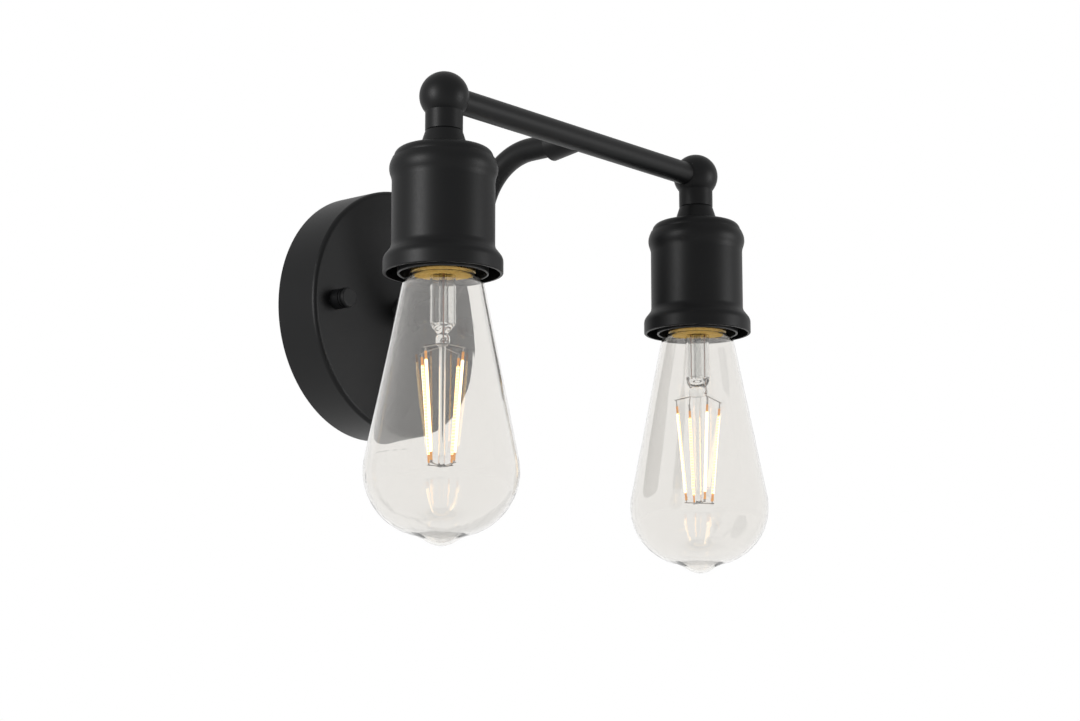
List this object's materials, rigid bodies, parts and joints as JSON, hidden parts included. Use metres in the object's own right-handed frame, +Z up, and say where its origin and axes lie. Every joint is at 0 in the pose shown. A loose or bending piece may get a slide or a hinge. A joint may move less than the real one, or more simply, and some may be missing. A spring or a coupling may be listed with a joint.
{
  "type": "vanity light",
  "caption": "Satin black wall light: a round back plate, a bent arm and a crossbar that carries hanging cup lamps with clear screw-in filament-style bulbs.",
  "frame": {"origin": "middle of the wall plate on the wall's plane, between the strap's two box screws", "axes": "+X along the crossbar, +Y into the wall, +Z up"},
  "size_m": [0.241, 0.1625, 0.1993],
  "materials": {
    "black_metal": "satin",
    "zinc_steel": "zinc plated",
    "green_steel": "green dyed zinc",
    "splice_plastic": "moulded",
    "black_phenolic": "moulded",
    "brass": "pressed",
    "black_insulation": "satin",
    "white_insulation": "satin",
    "dark_glass": "glossy",
    "solder": "dull",
    "clear_glass": "clear",
    "stem_glass": "clear",
    "circuit_board": "matt",
    "neck_disc": "rough gilt",
    "support_wire": "drawn",
    "filament": "lit phosphor"
  },
  "bodies": {
    "fixture": {"mounting_strap": "zinc_steel", "strap_studs": "zinc_steel", "stud_nuts": "zinc_steel", "earth_screw": "green_steel", "back_plate": "black_metal", "arm_tube": "black_metal", "arm_foot_collar": "black_metal", "arm_nipple": "zinc_steel", "arm_washer": "zinc_steel", "arm_nut": "zinc_steel", "arm_saddle": "black_metal", "crossbar": "black_metal", "live_splice_cap": "splice_plastic", "neutral_splice_cap": "splice_plastic", "left_ball_fitting": "black_metal", "left_lamp_nipple": "zinc_steel", "left_cup_cap": "black_metal", "left_cup": "black_metal", "left_holder_nut": "zinc_steel", "left_holder_cap": "black_phenolic", "left_holder_body": "black_phenolic", "left_terminal_screws": "brass", "left_screw_shell": "brass", "left_contact_leaf": "brass", "left_live_wire": "black_insulation", "left_neutral_wire": "white_insulation", "right_ball_fitting": "black_metal", "right_lamp_nipple": "zinc_steel", "right_cup_cap": "black_metal", "right_cup": "black_metal", "right_holder_nut": "zinc_steel", "right_holder_cap": "black_phenolic", "right_holder_body": "black_phenolic", "right_terminal_screws": "brass", "right_screw_shell": "brass", "right_contact_leaf": "brass", "right_live_wire": "black_insulation", "right_neutral_wire": "white_insulation"},
    "left_cap_nut": {"left_cap_nut": "black_metal"},
    "left_bulb_foot": {"left_bulb_insulator": "dark_glass", "left_bulb_tip": "solder"},
    "left_bulb": {"left_bulb_base": "brass", "left_bulb_glass": "clear_glass", "left_bulb_driver": "circuit_board", "left_bulb_neck_disc": "neck_disc", "left_bulb_stem": "stem_glass", "left_bulb_supports": "support_wire", "left_bulb_filaments": "filament"},
    "right_cap_nut": {"right_cap_nut": "black_metal"},
    "right_bulb_foot": {"right_bulb_insulator": "dark_glass", "right_bulb_tip": "solder"},
    "right_bulb": {"right_bulb_base": "brass", "right_bulb_glass": "clear_glass", "right_bulb_driver": "circuit_board", "right_bulb_neck_disc": "neck_disc", "right_bulb_stem": "stem_glass", "right_bulb_supports": "support_wire", "right_bulb_filaments": "filament"}
  },
  "joints": [
    {"name": "left_bulb_drop", "type": "slide", "parent": "fixture", "child": "left_bulb_foot", "axis": [0, 0, -1], "range_m": [0, 0.0291]},
    {"name": "left_bulb_turn", "type": "hinge", "parent": "left_bulb_foot", "child": "left_bulb", "pos_m": [-0.0884, -0.1304, 0], "axis": [0, 0, -1], "range_deg": [0, 2880]},
    {"name": "left_nut_off", "type": "slide", "parent": "fixture", "child": "left_cap_nut", "axis": [0, -1, 0], "range_m": [0, 0.012]},
    {"name": "right_bulb_drop", "type": "slide", "parent": "fixture", "child": "right_bulb_foot", "axis": [0, 0, -1], "range_m": [0, 0.0291]},
    {"name": "right_bulb_turn", "type": "hinge", "parent": "right_bulb_foot", "child": "right_bulb", "pos_m": [0.0884, -0.1304, 0], "axis": [0, 0, -1], "range_deg": [0, 2880]},
    {"name": "right_nut_off", "type": "slide", "parent": "fixture", "child": "right_cap_nut", "axis": [0, -1, 0], "range_m": [0, 0.012]}
  ],
  "couplings": [
    {"joint": "left_bulb_drop", "follows": "left_bulb_turn", "m_per_rad": 0.0005775},
    {"joint": "right_bulb_drop", "follows": "right_bulb_turn", "m_per_rad": 0.0005775}
  ]
}
